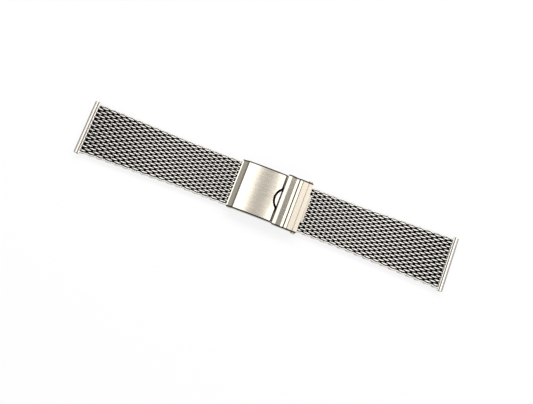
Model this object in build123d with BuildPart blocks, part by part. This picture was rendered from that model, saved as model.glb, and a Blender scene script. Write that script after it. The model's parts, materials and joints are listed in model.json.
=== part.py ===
from build123d import *
import math
import os

os.makedirs("parts", exist_ok=True)

# Milanese mesh band, closed and lying flat. X runs along the band, Y across it and Z up out of the
# face that is worn outwards. The origin is the middle of the band at the underside of its clasp.
# All lengths are millimetres.

# Band
band_length = 152.6
lug_width = 22.0
tube_diameter = 2.2
spring_bar_bore = 1.6
mesh_thickness = 2.2
mesh_width_clasp = 18.7
mesh_width_lug = 21.0
taper_start_x = 35.0
coil_pitch = 1.8
coil_length = 3.0
coils_per_stretch = 4
first_bend_room = 20.0
mesh_bend_angle = 26.0
mesh_hinge_gap = 0.1
tail_end_wanted_x = -3.3
tail_cap_length = 1.2
tail_cap_rounding = 0.5
seam_width = 0.22
seam_depth = 0.2
seam_offset = 0.1
tube_end_rounding = 0.2

# Heights of the clasp's layers
mesh_lift = 0.95
blade_gap = 0.2
blade_thickness = 0.5
fold_barrel_radius = 0.6
fold_barrel_lift = 0.1
link_thickness = 0.5

# Pins and their clearance in the piece that turns on them
fold_pin_radius = 0.3
flap_pin_radius = 0.35
strap_pin_radius = 0.4
lever_pin_radius = 0.22
running_gap = 0.03

# Cover
cover_left_x = -13.7
cover_length = 18.2
cover_sheet = 0.45
cover_crown_z = 6.3
cover_crown_radius = 60.0
shoulder_length = 2.7
shoulder_lip = 0.4
shoulder_lip_slope = 8.0
cover_edge_lift = 1.25
wall_thickness = 0.32
wall_gap = 0.08
wall_lift = 0.05
wall_edge_rounding = 0.2
notch_radius = 5.3
notch_depth = 2.6
notch_gap = 0.75
strap_pin_inset = 1.2
strap_ear_radius = 0.95
fold_axis_step = 2.3
cover_axis_inset = 3.2
flap_ear_radius = 0.85
flap_ear_gap = 0.08
flap_ear_neck = 1.1
flap_ear_foot_z = 4.15

# Safety flap
cover_flap_gap = 0.35
hump_radius = 1.25
flap_barrel_radius = 1.1
hump_lift = 0.75
hump_peak_x = 1.5
hump_peak_slope = 8.0
hump_peak_rounding = 0.5
hump_left_rounding = 0.4
hump_foot_x = 3.6
hump_foot_rounding = 0.5
hump_wall = 0.4
hump_wall_bottom_z = 3.6
hump_corner = 0.5
flap_length = 10.25
flap_depth = 1.45
flap_end_thickness = 0.38
flap_slope = 4.4
flap_corner = 0.5
valley_drop = 0.37
groove_x = 4.72
groove_half_width = 0.12
groove_depth = 0.18
ridge_start = 4.95
ridge_end = 6.2
ridge_height = 0.12
ridge_rounding = 0.12
ridge_step = 0.08
score_x = 8.55
score_half_width = 0.12
score_depth = 0.08
lip_width = 10.6
lip_length = 0.9
lip_thickness = 0.34
lip_corner = 0.35
flap_open_allowance = 31.0

# Slider, latch bar and lock lever
slider_length = 6.6
slider_lip_width = 1.2
slider_lip_height = 0.7
blade_side_gap = 0.25
link_side_gap = 0.45
barrel_side_gap = 0.08
knuckle_width = 3.15
latch_bar_start = 4.5
latch_bar_length = 1.8
latch_bar_gap = 0.15
latch_bar_side_gap = 0.15
stud_radius = 0.5
stud_head_radius = 0.95
stud_head_length = 0.47
stud_head_dome = 0.3
stud_gap = 0.12
stud_exit_room = 0.25
lever_length = 9.2
lever_thickness = 0.6
lever_barrel_radius = 0.4
lever_axis_inset = 0.7
lever_side_gap = 0.15
clamp_ridge_width = 1.0
clamp_ridge_height = 0.15
grip_groove_width = 0.4
grip_groove_depth = 0.15
grip_groove_pitch = 0.9
grip_grooves = 3
boss_drop = 0.2
boss_gap = 0.33
boss_rounding = 0.2

# Heights worked out from the layers
mesh_mid_z = mesh_lift + mesh_thickness / 2
mesh_top_z = mesh_lift + mesh_thickness
blade_z = mesh_top_z + blade_gap
blade_top_z = blade_z + blade_thickness
fold_axis_z = blade_top_z + fold_barrel_lift + fold_barrel_radius
cover_wall_z = mesh_top_z + wall_lift
cover_edge_z = mesh_top_z + cover_edge_lift
flap_axis_z = fold_axis_z + hump_lift
hump_top_z = flap_axis_z + hump_radius
flap_under_z = hump_top_z - flap_depth
latch_bar_top_z = flap_under_z - latch_bar_gap

# Places along the band
tube_x = (band_length - tube_diameter) / 2
mesh_end_x = tube_x - tube_diameter / 2
stretch_length = coils_per_stretch * coil_pitch
stretches_per_side = int((mesh_end_x - first_bend_room) / stretch_length)
first_hinge_x = mesh_end_x - stretches_per_side * stretch_length
tail_coils = round((first_hinge_x - tail_end_wanted_x) / coil_pitch)
tail_end_x = first_hinge_x - tail_coils * coil_pitch
cover_right_x = cover_left_x + cover_length
shoulder_x = cover_left_x + shoulder_length
strap_pin_x = cover_left_x + strap_pin_inset
fold_axis_x = strap_pin_x + fold_axis_step
cover_axis_x = cover_right_x - cover_axis_inset
flap_left_x = cover_right_x + cover_flap_gap
flap_axis_x = flap_left_x + hump_radius
flap_right_x = flap_left_x + flap_length
slider_right_x = flap_right_x
slider_left_x = slider_right_x - slider_length
stud_x = slider_left_x + latch_bar_start + latch_bar_length / 2
lever_axis_x = slider_right_x - lever_axis_inset
notch_left_x = flap_left_x - notch_depth
notch_centre_x = notch_left_x + notch_radius
flap_ear_right_x = flap_axis_x + flap_ear_radius + flap_ear_gap

# Half widths across the band
mesh_half_clasp = mesh_width_clasp / 2
mesh_half_lug = mesh_width_lug / 2
wall_inner_y = mesh_half_clasp + wall_gap
clasp_half = wall_inner_y + wall_thickness
blade_half = wall_inner_y - blade_side_gap
link_half = wall_inner_y - link_side_gap
barrel_half = wall_inner_y - barrel_side_gap
hump_wall_y = clasp_half + barrel_side_gap
hump_half = hump_wall_y + hump_wall
latch_bar_half = wall_inner_y - latch_bar_side_gap
slider_lip_y = clasp_half - slider_lip_width
lever_half = slider_lip_y - lever_side_gap
link_knuckle_half = blade_half - knuckle_width - barrel_side_gap
stud_head_y = hump_half + barrel_side_gap

# Rounded valley between two coils, which is also where the mesh bends
valley_half = mesh_thickness / 2 * math.sqrt(1 - (coil_pitch / coil_length) ** 2)
bevel_run = mesh_thickness * math.tan(math.radians(mesh_bend_angle / 2))


def half_width(x):
    """Half the mesh's width at a distance x from the band's middle."""
    if x <= taper_start_x:
        return mesh_half_clasp
    share = (x - taper_start_x) / (mesh_end_x - taper_start_x)
    return mesh_half_clasp + share * (mesh_half_lug - mesh_half_clasp)


def strand_stretch(side, near_x, far_x, near_end, far_end):
    """One stretch of mesh, from near_x to far_x on one side of the band's middle.

    A knuckle end is round and turns in the hollow socket end of the stretch before it. An eye
    end goes round the strap pin, and a tube end is hollowed to lie against the lug tube.
    """
    coils = int((far_x - near_x) / coil_pitch + coil_pitch / coil_length)
    coil_xs = [far_x - (i + 0.5) * coil_pitch for i in range(coils)]
    rise = mesh_thickness
    if near_end == "knuckle":
        near_points = [(near_x + bevel_run, -rise), (near_x, 0), (near_x + bevel_run, rise)]
    elif near_end == "eye":
        near_points = [(near_x - rise, -rise), (near_x - rise, rise)]
    else:
        near_points = [(near_x, -rise), (near_x, rise)]
    if far_end == "socket":
        far_points = [(far_x - bevel_run, rise), (far_x, 0), (far_x - bevel_run, -rise)]
    else:
        far_points = [(tube_x, rise), (tube_x, -rise)]
    core_far_x = tube_x if far_end == "tube" else far_x
    trim = [(side * x, mesh_mid_z + z) for x, z in near_points + far_points]
    plan_xs = [near_x - rise, far_x + rise]
    if plan_xs[0] < taper_start_x < plan_xs[1]:
        plan_xs.insert(1, taper_start_x)
    plan = [(side * x, half_width(x)) for x in plan_xs]
    plan += [(side * x, -half_width(x)) for x in reversed(plan_xs)]

    with BuildPart() as stretch:
        with BuildSketch(Plane.XZ):
            with Locations(*[(side * x, mesh_mid_z) for x in coil_xs]):
                Ellipse(coil_length / 2, mesh_thickness / 2)
            with Locations((side * (near_x + core_far_x) / 2, mesh_mid_z)):
                Rectangle(core_far_x - near_x, 2 * valley_half)
            with BuildLine():
                Polyline(*trim, close=True)
            make_face(mode=Mode.INTERSECT)
            if near_end == "knuckle":
                with Locations((side * near_x, mesh_mid_z)):
                    Circle(valley_half)
            if near_end == "eye":
                with Locations((side * near_x, mesh_mid_z)):
                    Circle(mesh_thickness / 2)
                    Circle(strap_pin_radius + running_gap, mode=Mode.SUBTRACT)
            if far_end == "socket":
                with Locations((side * far_x, mesh_mid_z)):
                    Circle(valley_half + mesh_hinge_gap, mode=Mode.SUBTRACT)
            if far_end == "tube":
                with Locations((side * tube_x, mesh_mid_z)):
                    Circle(tube_diameter / 2, mode=Mode.SUBTRACT)
        extrude(amount=lug_width, both=True)
        with BuildSketch(Plane.XY):
            with BuildLine():
                Polyline(*plan, close=True)
            make_face()
        extrude(amount=2 * mesh_top_z, mode=Mode.INTERSECT)
    return stretch.part


def lug_tube(side):
    """The tube that takes the spring bar at one end of the band."""
    with BuildPart() as tube:
        with BuildSketch(Plane.XZ):
            with Locations((side * tube_x, mesh_mid_z)):
                Circle(tube_diameter / 2)
                Circle(spring_bar_bore / 2, mode=Mode.SUBTRACT)
        extrude(amount=lug_width / 2, both=True)
        rims = tube.edges().filter_by(GeomType.CIRCLE)
        outer = [e for e in rims if e.radius > (tube_diameter + spring_bar_bore) / 4]
        fillet(outer, radius=tube_end_rounding)
        with BuildSketch(Plane.XZ):
            with Locations((side * (tube_x + seam_offset), mesh_mid_z + tube_diameter / 2)):
                Rectangle(seam_width, 2 * seam_depth)
        extrude(amount=lug_width, both=True, mode=Mode.SUBTRACT)
    return tube.part


def pin(x, z, radius, half_length):
    """A plain pin across the band, centred on its middle."""
    with BuildPart() as rod:
        with BuildSketch(Plane.XZ):
            with Locations((x, z)):
                Circle(radius)
        extrude(amount=half_length, both=True)
    return rod.part


def save(part, name):
    """Label one finished piece and write it."""
    part.label = name
    export_step(part, f"parts/{name}.step")


# Mesh strands
hinge_xs = [first_hinge_x + i * stretch_length for i in range(stretches_per_side + 1)]
save(strand_stretch(-1, -strap_pin_x, first_hinge_x, "eye", "socket"), "left_mesh_1")
save(strand_stretch(1, tail_end_x, first_hinge_x, "flat", "socket"), "tail_mesh")
for i in range(stretches_per_side):
    last = i == stretches_per_side - 1
    far_end = "tube" if last else "socket"
    left = strand_stretch(-1, hinge_xs[i], hinge_xs[i + 1], "knuckle", far_end)
    right = strand_stretch(1, hinge_xs[i], hinge_xs[i + 1], "knuckle", far_end)
    save(left, f"left_mesh_{i + 2}")
    save(right, f"right_mesh_{i + 1}")
save(lug_tube(-1), "left_lug_tube")
save(lug_tube(1), "right_lug_tube")

# Cap on the free end of the sliding strand
with BuildPart() as tail_end_cap:
    with BuildSketch(Plane.XZ):
        with Locations((tail_end_x - tail_cap_length / 2, mesh_mid_z)):
            Rectangle(tail_cap_length, mesh_thickness)
    extrude(amount=mesh_half_clasp, both=True)
    fillet(tail_end_cap.faces().sort_by(Axis.X)[0].edges(), radius=tail_cap_rounding)
save(tail_end_cap.part, "tail_end_cap")

# Slider frame: a channel that holds the edges of the sliding strand
with BuildPart() as slider_frame:
    with BuildSketch(Plane.YZ.offset(slider_left_x)):
        with Locations((0, blade_top_z / 2)):
            Rectangle(2 * clasp_half, blade_top_z)
        with Locations((0, blade_z / 2)):
            Rectangle(2 * wall_inner_y, blade_z, mode=Mode.SUBTRACT)
        for side in (-1, 1):
            with Locations((side * (clasp_half - slider_lip_width / 2), slider_lip_height / 2)):
                Rectangle(slider_lip_width, slider_lip_height)
    extrude(amount=slider_length)
    long_edges = slider_frame.edges().filter_by(Axis.X)
    corners = [e for e in long_edges if abs(e.center().Y) > clasp_half - wall_edge_rounding / 2]
    fillet([e for e in corners if e.center().Z < mesh_mid_z], radius=wall_edge_rounding)
    with BuildSketch(Plane.XZ):
        with Locations((lever_axis_x, lever_barrel_radius)):
            Circle(lever_pin_radius)
    extrude(amount=lug_width, both=True, mode=Mode.SUBTRACT)
save(slider_frame.part, "slider_frame")

# Base blade: the long plate under the cover, with two knuckles for the fold hinge
with BuildPart() as base_blade:
    blade_left_x = fold_axis_x - fold_barrel_radius
    with BuildSketch(Plane.XZ):
        with Locations(((blade_left_x + slider_left_x) / 2, blade_z + blade_thickness / 2)):
            Rectangle(slider_left_x - blade_left_x, blade_thickness)
    extrude(amount=blade_half, both=True)
    with BuildSketch(Plane.XZ.offset(blade_half - knuckle_width)):
        with Locations((fold_axis_x, fold_axis_z)):
            Circle(fold_barrel_radius)
        with Locations((fold_axis_x - fold_barrel_radius / 2, (blade_z + fold_axis_z) / 2)):
            Rectangle(fold_barrel_radius, fold_axis_z - blade_z)
    extrude(amount=knuckle_width)
    mirror(about=Plane.XZ)
    with BuildSketch(Plane.XZ):
        with Locations((fold_axis_x, fold_axis_z)):
            Circle(fold_pin_radius)
    extrude(amount=lug_width, both=True, mode=Mode.SUBTRACT)
save(base_blade.part, "base_blade")

# Locating boss: the half-moon that stands in the cover's notch
cover_arc_centre_x = (shoulder_x + cover_right_x) / 2
cover_arc_centre_z = cover_crown_z - cover_crown_radius


def cover_top_z(x):
    """Height of the cover's outer face over its long arc."""
    run = x - cover_arc_centre_x
    return cover_arc_centre_z + math.sqrt(cover_crown_radius**2 - run**2)


boss_right_x = flap_left_x - boss_gap
boss_radius = notch_radius - notch_gap
boss_top_z = cover_top_z(cover_right_x) - boss_drop
with BuildPart() as locating_boss:
    with BuildSketch(Plane.XY.offset(blade_top_z)):
        with Locations((notch_centre_x, 0)):
            Circle(boss_radius)
        with Locations((boss_right_x - boss_radius, 0)):
            Rectangle(2 * boss_radius, 2 * boss_radius, mode=Mode.INTERSECT)
    extrude(amount=boss_top_z - blade_top_z)
    fillet(locating_boss.faces().sort_by(Axis.Z)[-1].edges(), radius=boss_rounding)
save(locating_boss.part, "locating_boss")

# Latch bar: a cross bar on the slider with a headed stud at each end
stud_z = (blade_top_z + latch_bar_top_z) / 2
with BuildPart() as latch_bar:
    with BuildSketch(Plane.XZ):
        with Locations((stud_x, stud_z)):
            Rectangle(latch_bar_length, latch_bar_top_z - blade_top_z)
    extrude(amount=latch_bar_half, both=True)
    with BuildSketch(Plane.XZ.offset(latch_bar_half)):
        with Locations((stud_x, stud_z)):
            Circle(stud_radius)
    extrude(amount=stud_head_y - latch_bar_half)
    with BuildSketch(Plane.XZ.offset(stud_head_y)):
        with Locations((stud_x, stud_z)):
            Circle(stud_head_radius)
    extrude(amount=stud_head_length)
    fillet(latch_bar.faces().sort_by(Axis.Y)[0].edges(), radius=stud_head_dome)
    mirror(about=Plane.XZ)
save(latch_bar.part, "latch_bar")

# Lock lever under the slider: it turns down to free the sliding strand
lever_left_x = lever_axis_x - lever_length
with BuildPart() as lock_lever:
    with BuildSketch(Plane.XZ):
        with Locations((lever_axis_x, lever_barrel_radius)):
            Circle(lever_barrel_radius)
        with Locations(((lever_left_x + lever_axis_x) / 2, lever_thickness / 2)):
            Rectangle(lever_length, lever_thickness)
        with Locations((slider_left_x + clamp_ridge_width, lever_thickness)):
            Rectangle(clamp_ridge_width, 2 * clamp_ridge_height)
        first_groove_x = lever_left_x + grip_groove_pitch
        with Locations(*[(first_groove_x + i * grip_groove_pitch, 0) for i in range(grip_grooves)]):
            Rectangle(grip_groove_width, 2 * grip_groove_depth, mode=Mode.SUBTRACT)
        with Locations((lever_axis_x, lever_barrel_radius)):
            Circle(lever_pin_radius + running_gap, mode=Mode.SUBTRACT)
    extrude(amount=lever_half, both=True)
    lever_tip = lock_lever.faces().sort_by(Axis.X)[0]
    fillet(lever_tip.edges().filter_by(Axis.Z), radius=hump_corner)
save(lock_lever.part, "lock_lever")

# Fold link between the base blade and the cover
with BuildPart() as fold_link:
    with BuildSketch(Plane.XZ):
        with Locations((fold_axis_x, fold_axis_z), (cover_axis_x, fold_axis_z)):
            Circle(fold_barrel_radius)
        with Locations(((fold_axis_x + cover_axis_x) / 2, fold_axis_z)):
            Rectangle(cover_axis_x - fold_axis_x, link_thickness)
        with Locations((fold_axis_x, fold_axis_z), (cover_axis_x, fold_axis_z)):
            Circle(fold_pin_radius + running_gap, mode=Mode.SUBTRACT)
    extrude(amount=link_half, both=True)
    corner_width = link_half - link_knuckle_half
    corner_length = 2 * (fold_barrel_radius + running_gap + fold_barrel_lift)
    with BuildSketch(Plane.XY):
        for side in (-1, 1):
            with Locations((fold_axis_x, side * (link_knuckle_half + corner_width / 2))):
                Rectangle(corner_length, corner_width)
    extrude(amount=2 * fold_axis_z, mode=Mode.SUBTRACT)
save(fold_link.part, "fold_link")

# Cover shell: a crowned sheet with a bevelled shoulder and a small lip, side walls and pin ears
sheet_start = Vector(shoulder_x, cover_top_z(shoulder_x))
sheet_edge = Vector(cover_left_x + shoulder_lip, cover_edge_z)
lip_drop = shoulder_lip * math.tan(math.radians(shoulder_lip_slope))
lip_end = Vector(cover_left_x, cover_edge_z - lip_drop)


def inward(start, end):
    """Direction into the sheet from a stretch of its outer face that runs from right to left."""
    run = end - start
    return Vector(-run.Y, run.X).normalized()


def bend_inside(corner, before, after):
    """Inner corner of the sheet where two stretches with these inward directions meet."""
    return corner + (before + after) * (cover_sheet / (1 + before.dot(after)))


crown_inward = (Vector(cover_arc_centre_x, cover_arc_centre_z) - sheet_start).normalized()
bevel_inward = inward(sheet_start, sheet_edge)
lip_inward = inward(sheet_edge, lip_end)
sheet_start_in = bend_inside(sheet_start, crown_inward, bevel_inward)
sheet_edge_in = bend_inside(sheet_edge, bevel_inward, lip_inward)
lip_end_in = lip_end + lip_inward * cover_sheet
right_top = Vector(cover_right_x, cover_top_z(cover_right_x))
crown_top = Vector(cover_arc_centre_x, cover_crown_z)
right_in = Vector(cover_right_x, right_top.Y - cover_sheet)
crown_in = Vector(cover_arc_centre_x, cover_crown_z - cover_sheet)
ear_left_x = strap_pin_x - strap_ear_radius
ear_right_x = strap_pin_x + strap_ear_radius

with BuildPart() as cover_shell:
    with BuildSketch(Plane.XZ):
        with BuildLine():
            ThreePointArc(right_top, crown_top, sheet_start)
            Polyline(sheet_start, sheet_edge, lip_end, lip_end_in, sheet_edge_in, sheet_start_in)
            ThreePointArc(sheet_start_in, crown_in, right_in)
            Line(right_in, right_top)
        make_face()
    extrude(amount=clasp_half, both=True)
    with BuildSketch(Plane.XZ.offset(wall_inner_y)):
        with BuildLine():
            ThreePointArc(right_top, crown_top, sheet_start)
            Polyline(
                sheet_start,
                sheet_edge,
                (ear_left_x, sheet_edge_in.Y),
                (ear_left_x, mesh_mid_z),
                (ear_right_x, mesh_mid_z),
                (ear_right_x, cover_wall_z),
                (flap_ear_right_x, cover_wall_z),
                (flap_ear_right_x, flap_ear_foot_z),
                (cover_right_x, flap_ear_foot_z),
                right_top,
            )
        make_face()
        with Locations((strap_pin_x, mesh_mid_z)):
            Circle(strap_ear_radius)
        with Locations((flap_axis_x, flap_axis_z)):
            Circle(flap_ear_radius)
        with Locations((flap_axis_x, (flap_ear_foot_z + flap_axis_z) / 2)):
            Rectangle(flap_ear_neck, flap_axis_z - flap_ear_foot_z)
    extrude(amount=wall_thickness)
    mirror(about=Plane.XZ)
    with BuildSketch(Plane.XY.offset(fold_axis_z)):
        with Locations((notch_centre_x, 0)):
            Circle(notch_radius)
    extrude(amount=cover_crown_z, mode=Mode.SUBTRACT)
    with BuildSketch(Plane.XZ):
        with Locations((strap_pin_x, mesh_mid_z)):
            Circle(strap_pin_radius)
        with Locations((cover_axis_x, fold_axis_z)):
            Circle(fold_pin_radius)
        with Locations((flap_axis_x, flap_axis_z)):
            Circle(flap_pin_radius)
    extrude(amount=lug_width, both=True, mode=Mode.SUBTRACT)
    side_edges = [e for e in cover_shell.edges() if abs(e.center().Y) > clasp_half - running_gap]
    top_edges = [e for e in side_edges if e.center().Z > cover_edge_z and e.center().X < cover_right_x]
    fillet([e for e in top_edges if e.length > shoulder_length / 2], radius=wall_edge_rounding)
save(cover_shell.part, "cover_shell")

# Safety flap: a rolled hump on the hinge, a valley, a cross ridge, a sloping plate and a finger lip
peak_x = flap_left_x + hump_peak_x
foot_x = flap_left_x + hump_foot_x
groove_mid_x = flap_left_x + groove_x
ridge_left_x = flap_left_x + ridge_start
ridge_right_x = flap_left_x + ridge_end
score_mid_x = flap_left_x + score_x


def plate_z(x, lift=0):
    """Height of the sloping plate's top face, or of a face that is lifted or sunk from it."""
    return flap_under_z + flap_end_thickness + (flap_right_x - x) * math.tan(math.radians(flap_slope)) + lift


hump_left_z = hump_top_z - hump_peak_x * math.tan(math.radians(hump_peak_slope))
flap_outline = [
    (flap_left_x, flap_axis_z),
    (flap_left_x, hump_left_z),
    (peak_x, hump_top_z),
    (foot_x, plate_z(foot_x, -valley_drop)),
    (groove_mid_x - groove_half_width, plate_z(groove_mid_x, -valley_drop)),
    (groove_mid_x, plate_z(groove_mid_x, -valley_drop - groove_depth)),
    (ridge_left_x, plate_z(ridge_left_x, -valley_drop)),
    (ridge_left_x, plate_z(ridge_left_x, ridge_height)),
    (ridge_right_x, plate_z(ridge_right_x, ridge_height)),
    (ridge_right_x, plate_z(ridge_right_x, -ridge_step)),
    (ridge_right_x + groove_half_width, plate_z(ridge_right_x)),
    (score_mid_x - score_half_width, plate_z(score_mid_x)),
    (score_mid_x, plate_z(score_mid_x, -score_depth)),
    (score_mid_x + score_half_width, plate_z(score_mid_x)),
    (flap_right_x, plate_z(flap_right_x)),
    (flap_right_x, flap_under_z),
    (flap_axis_x, flap_under_z),
]
roundings = [
    (flap_outline[1], hump_left_rounding),
    (flap_outline[2], hump_peak_rounding),
    (flap_outline[3], hump_foot_rounding),
    (flap_outline[7], ridge_rounding),
    (flap_outline[8], ridge_rounding),
]
reach = 2 * hump_radius
skin_rise = reach * math.tan(math.radians(flap_open_allowance))
skin_cut = [
    (flap_axis_x, flap_axis_z),
    (flap_axis_x - reach, flap_axis_z + skin_rise),
    (flap_axis_x - reach, blade_z),
    (flap_axis_x + reach, blade_z),
    (flap_axis_x + reach, flap_under_z),
    (flap_axis_x, flap_under_z),
]
slot_radius = stud_radius + stud_gap
stud_slot = [
    (stud_x - slot_radius, stud_z),
    (stud_x + slot_radius, stud_z),
    (stud_x + slot_radius, blade_z),
    (stud_x - slot_radius - stud_exit_room, blade_z),
]
with BuildPart() as safety_flap:
    with BuildSketch(Plane.XZ):
        with BuildLine():
            Polyline(*flap_outline, close=True)
        make_face()
        for corner, radius in roundings:
            fillet(vertices().sort_by_distance(corner)[0], radius=radius)
        with Locations((flap_axis_x, flap_axis_z)):
            Circle(flap_barrel_radius)
    extrude(amount=hump_half, both=True)
    with BuildSketch(Plane.XZ.offset(hump_wall_y)):
        with BuildLine():
            Polyline(
                (flap_left_x, flap_axis_z),
                (flap_right_x, flap_under_z),
                (flap_right_x, hump_wall_bottom_z),
                (flap_axis_x, hump_wall_bottom_z),
                close=True,
            )
        make_face()
    extrude(amount=hump_wall)
    # The strips beside the hump are cleared so that the flap turns past the cover's ears
    with BuildSketch(Plane.XZ.offset(barrel_half)):
        with Locations((flap_axis_x, flap_axis_z)):
            Circle(flap_ear_radius + flap_ear_gap)
        with BuildLine():
            Polyline(*skin_cut, close=True)
        make_face()
    extrude(amount=hump_wall_y - barrel_half, mode=Mode.SUBTRACT)
    # Open slots in the walls drop over the studs
    with BuildSketch(Plane.XZ.offset(hump_wall_y)):
        with Locations((stud_x, stud_z)):
            Circle(slot_radius)
        with BuildLine():
            Polyline(*stud_slot, close=True)
        make_face()
    extrude(amount=hump_wall, mode=Mode.SUBTRACT)
    with BuildSketch(Plane.XZ):
        with Locations((flap_axis_x, flap_axis_z)):
            Circle(flap_pin_radius + running_gap)
    extrude(amount=clasp_half, mode=Mode.SUBTRACT)
    split(bisect_by=Plane.XZ)
    mirror(about=Plane.XZ)
    with BuildSketch(Plane.XY):
        with Locations(((flap_left_x + flap_right_x) / 2, 0)):
            Rectangle(flap_length, 2 * hump_half)
        corners = vertices().sort_by(Axis.X)
        fillet(corners[:2], radius=hump_corner)
        fillet(vertices().sort_by(Axis.X)[-2:], radius=flap_corner)
    extrude(amount=2 * hump_top_z, mode=Mode.INTERSECT)
    with BuildSketch(Plane.XY.offset(flap_under_z)):
        with Locations((flap_right_x, 0)):
            Rectangle(2 * lip_length, lip_width)
        fillet(vertices().sort_by(Axis.X)[-2:], radius=lip_corner)
    extrude(amount=lip_thickness)
save(safety_flap.part, "safety_flap")

# Hinge pins
save(pin(fold_axis_x, fold_axis_z, fold_pin_radius, blade_half), "fold_hinge_pin")
save(pin(cover_axis_x, fold_axis_z, fold_pin_radius, clasp_half), "cover_hinge_pin")
save(pin(flap_axis_x, flap_axis_z, flap_pin_radius, clasp_half), "flap_hinge_pin")
save(pin(strap_pin_x, mesh_mid_z, strap_pin_radius, clasp_half), "strap_pin")
save(pin(lever_axis_x, lever_barrel_radius, lever_pin_radius, clasp_half), "lock_lever_pin")
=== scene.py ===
import json
import math

import bmesh
import bpy
from bpy.props import FloatProperty, FloatVectorProperty, IntProperty, PointerProperty
from mathutils import Matrix, Vector


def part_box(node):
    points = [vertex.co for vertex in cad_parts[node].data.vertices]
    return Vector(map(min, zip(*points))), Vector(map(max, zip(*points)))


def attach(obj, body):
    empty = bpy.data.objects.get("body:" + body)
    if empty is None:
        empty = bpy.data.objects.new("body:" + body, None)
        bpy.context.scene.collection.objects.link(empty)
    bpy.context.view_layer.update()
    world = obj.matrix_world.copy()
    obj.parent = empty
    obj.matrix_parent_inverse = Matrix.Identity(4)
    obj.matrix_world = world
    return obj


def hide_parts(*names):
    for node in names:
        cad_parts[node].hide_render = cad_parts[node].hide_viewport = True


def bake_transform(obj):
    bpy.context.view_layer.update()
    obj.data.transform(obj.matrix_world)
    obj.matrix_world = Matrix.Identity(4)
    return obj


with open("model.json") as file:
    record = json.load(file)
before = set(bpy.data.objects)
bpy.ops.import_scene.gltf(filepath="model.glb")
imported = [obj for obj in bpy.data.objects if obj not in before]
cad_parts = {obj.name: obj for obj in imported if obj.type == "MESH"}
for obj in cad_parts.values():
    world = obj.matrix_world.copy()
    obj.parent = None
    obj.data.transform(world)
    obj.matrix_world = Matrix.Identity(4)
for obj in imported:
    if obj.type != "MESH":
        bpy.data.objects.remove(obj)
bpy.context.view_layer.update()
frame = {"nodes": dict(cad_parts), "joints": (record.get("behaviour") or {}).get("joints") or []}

bl_info = {
    "name": "Milanese Mesh Band",
    "version": (1, 0, 0),
    "blender": (4, 5, 0),
    "location": "View3D > Sidebar > Mesh Band",
    "description": "Weaves the steel mesh of a watch band and finishes its clasp and tubes",
    "category": "Add Mesh",
}

MM = 0.001
JOINTS = {joint["name"]: joint for joint in frame["joints"]}


def joint_x(name):
    """Distance of a hinge line from the band's middle, in metres."""
    return abs(JOINTS[name]["pos_m"][0])


FIRST_BEND = joint_x("left_bend_1")
BENDS = sum(name.startswith("left_bend_") for name in JOINTS)
BEND_STEP = joint_x("left_bend_2") - FIRST_BEND
MESH_LOW, MESH_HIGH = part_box("tail_mesh")
MID_Z = (MESH_LOW.z + MESH_HIGH.z) / 2
TUBE_LOW, TUBE_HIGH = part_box("right_lug_tube")
COVER_LOW, COVER_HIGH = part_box("cover_shell")
FLAP_LOW, FLAP_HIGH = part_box("safety_flap")

TAPER_START = 35.0 * MM    # the mesh widens from here to the lugs
BEYOND_ALL = 1.0           # further out than any coil, in metres
# The stored height share paints shade into the woven wire and the fused edge.
HEIGHT_SHARE = "height_share"

# Painted shade: dark lines in gaps, creases and grooves, and on the lug tubes.
PAINTED_SHADE = (0.035, 0.026, 0.018)
# Painted deep shade round the locating boss.
DEEP_PAINTED_SHADE = (0.006, 0.005, 0.004)
# Painted shade on the clasp's cut edges and on the walls under them.
PAINTED_EDGE_SHADE = (0.035, 0.027, 0.02)
PAINTED_WALL_SHADE = (0.06, 0.05, 0.042)
# Painted highlight on the cover's left shoulder.
PAINTED_HIGHLIGHT = (1.0, 0.945, 0.82)
COARSE_STEEL = (0.56, 0.51, 0.432)
BLASTED_STEEL = (0.98, 0.96, 0.92)
SHADED_WIRE = (0.715, 0.66, 0.50)
BRIGHT_SELVEDGE = (0.90, 0.885, 0.86)
DULL_SELVEDGE = (0.84, 0.825, 0.80)
SHADED_SELVEDGE = (0.33, 0.315, 0.29)
ROOM_LIGHT = (1.0, 0.985, 0.96)
LAMP_LIGHT = (1.0, 0.985, 0.95)


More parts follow.
